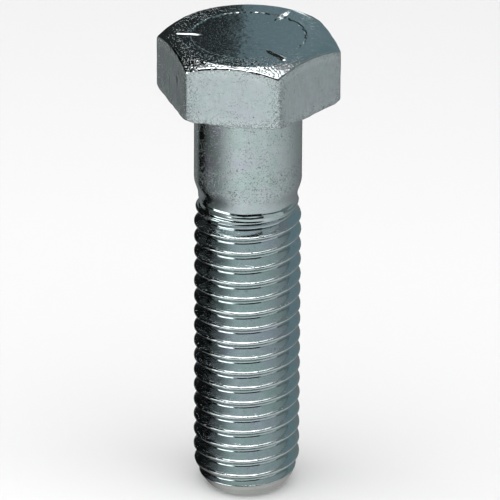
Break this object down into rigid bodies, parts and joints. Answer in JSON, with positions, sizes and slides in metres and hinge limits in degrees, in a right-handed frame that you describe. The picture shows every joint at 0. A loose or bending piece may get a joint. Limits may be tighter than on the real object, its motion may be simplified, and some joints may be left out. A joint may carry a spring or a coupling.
{
  "type": "hex bolt",
  "caption": "Hex head cap screw with a plain shank, a coarse external thread and a chamfered point.",
  "frame": {"origin": "centre of the bearing face under the head", "axes": "+Z along the bolt's axis towards the head, -Z towards the point; two of the hexagon's flats face +Y and -Y, two of its corners point to +X and -X"},
  "size_m": [0.0218, 0.019, 0.0582],
  "materials": {
    "zinc_head": "bright zinc plate over forged steel, lightly pitted",
    "zinc_marks": "bright zinc plate over forged steel, worn bright on the ridges",
    "zinc_shank": "bright zinc plate over drawn steel, fine pits and scratches",
    "zinc_thread": "bright zinc plate over rolled thread, darker in the roots"
  },
  "bodies": {
    "root": {"hex_head": "zinc_head", "washer_face": "zinc_head", "grade_marks": "zinc_marks", "plain_shank": "zinc_shank", "thread_transition": "zinc_shank", "threaded_shank": "zinc_thread", "chamfered_point": "zinc_thread"}
  },
  "joints": []
}
